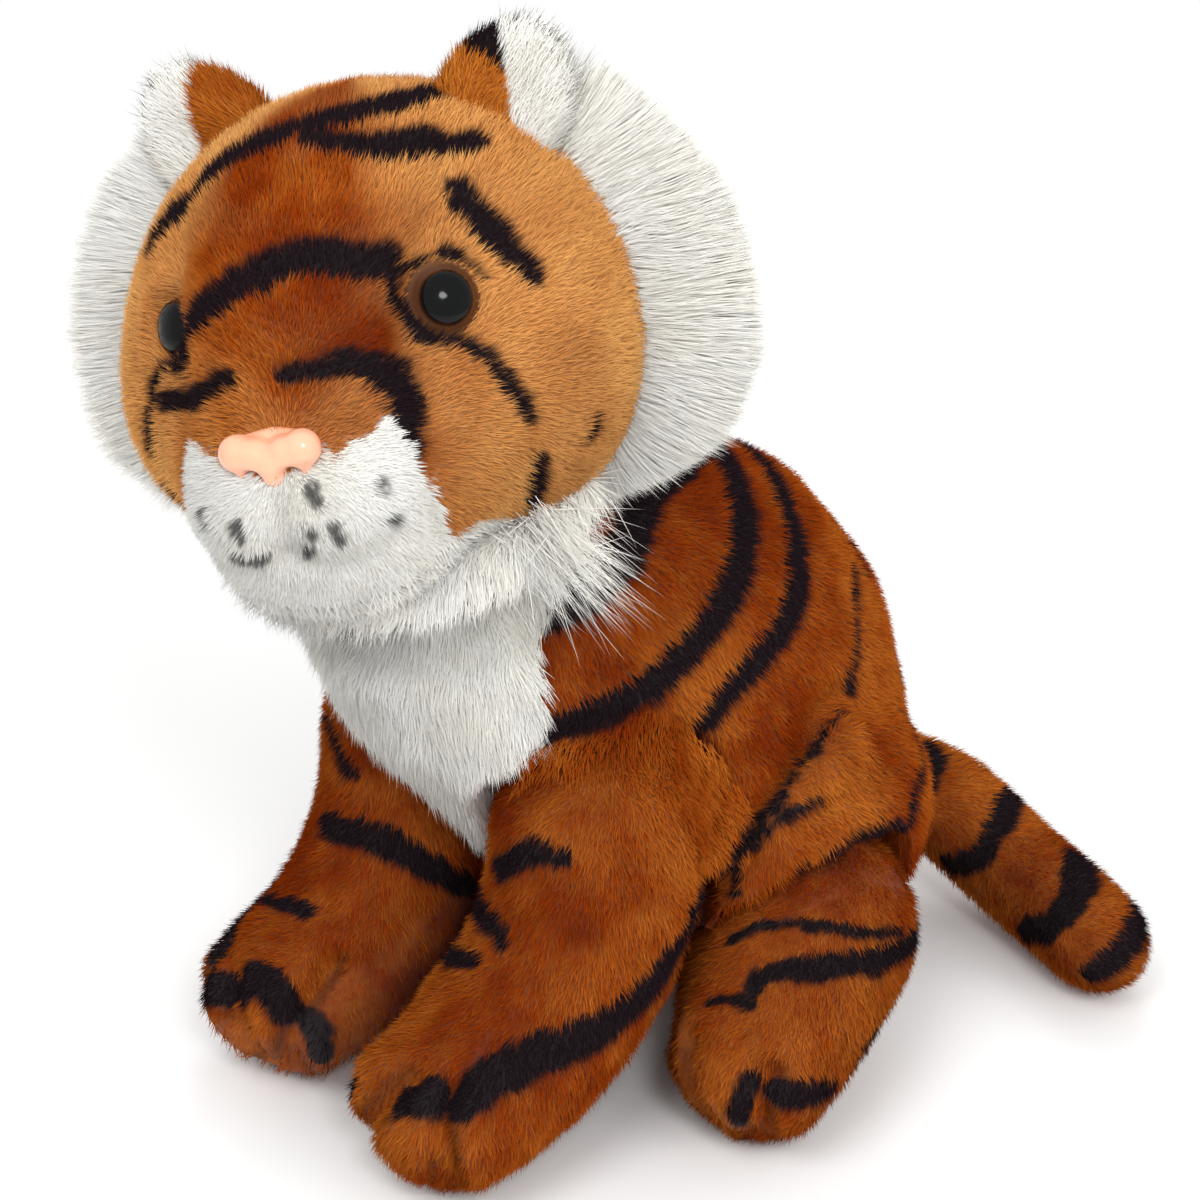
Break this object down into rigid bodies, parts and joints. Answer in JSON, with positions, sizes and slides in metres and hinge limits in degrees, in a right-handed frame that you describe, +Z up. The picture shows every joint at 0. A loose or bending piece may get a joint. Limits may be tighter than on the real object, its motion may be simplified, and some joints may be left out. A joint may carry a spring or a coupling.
{
  "type": "plush tiger",
  "caption": "Sitting plush tiger with a large turned head, white ruff, beard and bib, dark stripes, plastic eyes and nose, sewn limbs and a blunt tail.",
  "frame": {"origin": "centre of the flat under the seat, on the surface that the toy sits on", "axes": "+Z up, the body faces -Y, the tiger's left side is +X; the head is turned 29 degrees to its left"},
  "size_m": [0.2074, 0.2681, 0.2852],
  "materials": {
    "rust_plush": "short dense pile, rust brown with dark stripes",
    "cheek_plush": "short dense pile, lighter golden brown",
    "white_plush": "short dense white pile",
    "white_pile": "long combed white pile",
    "filling": "loose polyester fibre",
    "pellet_cloth": "woven cloth bag of plastic pellets",
    "eye_plastic": "clear domed plastic over a brown iris and a black pupil",
    "nose_plastic": "moulded salmon plastic",
    "washer_plastic": "natural white plastic"
  },
  "bodies": {
    "torso": {"seat_panel": "rust_plush", "bib_panel": "white_plush", "body_side_left": "rust_plush", "body_side_right": "rust_plush", "body_filling": "filling", "pellet_bag": "pellet_cloth"},
    "neck": {"neck_filling": "filling"},
    "head": {"forehead_gusset": "rust_plush", "cheek_left": "cheek_plush", "cheek_right": "cheek_plush", "head_back": "rust_plush", "muzzle_patch": "white_plush", "head_filling": "filling", "eye_left": "eye_plastic", "eye_right": "eye_plastic", "eye_washer_left": "washer_plastic", "eye_washer_right": "washer_plastic", "nose": "nose_plastic", "nose_washer": "washer_plastic", "ruff_left": "white_pile", "ruff_right": "white_pile", "chin_beard": "white_pile"},
    "ear_left": {"ear_back_left": "rust_plush", "ear_lining_left": "white_plush"},
    "ear_right": {"ear_back_right": "rust_plush", "ear_lining_right": "white_plush"},
    "front_leg_left": {"front_leg_left_casing": "rust_plush", "front_leg_left_filling": "filling"},
    "front_leg_right": {"front_leg_right_casing": "rust_plush", "front_leg_right_filling": "filling"},
    "hind_leg_left": {"hind_leg_left_casing": "rust_plush", "hind_leg_left_filling": "filling"},
    "hind_leg_right": {"hind_leg_right_casing": "rust_plush", "hind_leg_right_filling": "filling"},
    "tail": {"tail_casing": "rust_plush", "tail_filling": "filling"}
  },
  "joints": [
    {"name": "head_turn", "type": "hinge", "parent": "torso", "child": "neck", "pos_m": [0, -0.09, 0.158], "axis": [-0.2642, 0.0478, 0.9633], "range_deg": [-15, 15], "stiffness_Nm_per_rad": 3},
    {"name": "head_nod", "type": "hinge", "parent": "neck", "child": "head", "pos_m": [0, -0.09, 0.158], "axis": [0.838, 0.5058, 0.2048], "range_deg": [-8, 4], "stiffness_Nm_per_rad": 6},
    {"name": "ear_left_fold", "type": "hinge", "parent": "head", "child": "ear_left", "pos_m": [0.01701, -0.08513, 0.26477], "axis": [0.8283, 0.3752, -0.4162], "range_deg": [-14, 14], "stiffness_Nm_per_rad": 0.05},
    {"name": "ear_right_fold", "type": "hinge", "parent": "head", "child": "ear_right", "pos_m": [-0.04149, -0.12044, 0.25047], "axis": [0.5103, 0.4327, 0.7432], "range_deg": [-14, 14], "stiffness_Nm_per_rad": 0.05},
    {"name": "front_leg_left_swing", "type": "hinge", "parent": "torso", "child": "front_leg_left", "pos_m": [0.037, -0.074, 0.102], "axis": [1, 0, 0], "range_deg": [-14, 4], "stiffness_Nm_per_rad": 2},
    {"name": "front_leg_right_swing", "type": "hinge", "parent": "torso", "child": "front_leg_right", "pos_m": [-0.037, -0.074, 0.102], "axis": [1, 0, 0], "range_deg": [-14, 4], "stiffness_Nm_per_rad": 2},
    {"name": "hind_leg_left_splay", "type": "hinge", "parent": "torso", "child": "hind_leg_left", "pos_m": [0.046, 0, 0.042], "axis": [0, 0, 1], "range_deg": [0, 14], "stiffness_Nm_per_rad": 2},
    {"name": "hind_leg_right_splay", "type": "hinge", "parent": "torso", "child": "hind_leg_right", "pos_m": [-0.046, 0, 0.042], "axis": [0, 0, -1], "range_deg": [0, 14], "stiffness_Nm_per_rad": 2},
    {"name": "tail_sway", "type": "hinge", "parent": "torso", "child": "tail", "pos_m": [0.004, 0.046, 0.042], "axis": [0, 0, 1], "range_deg": [-14, 18], "stiffness_Nm_per_rad": 0.5}
  ]
}
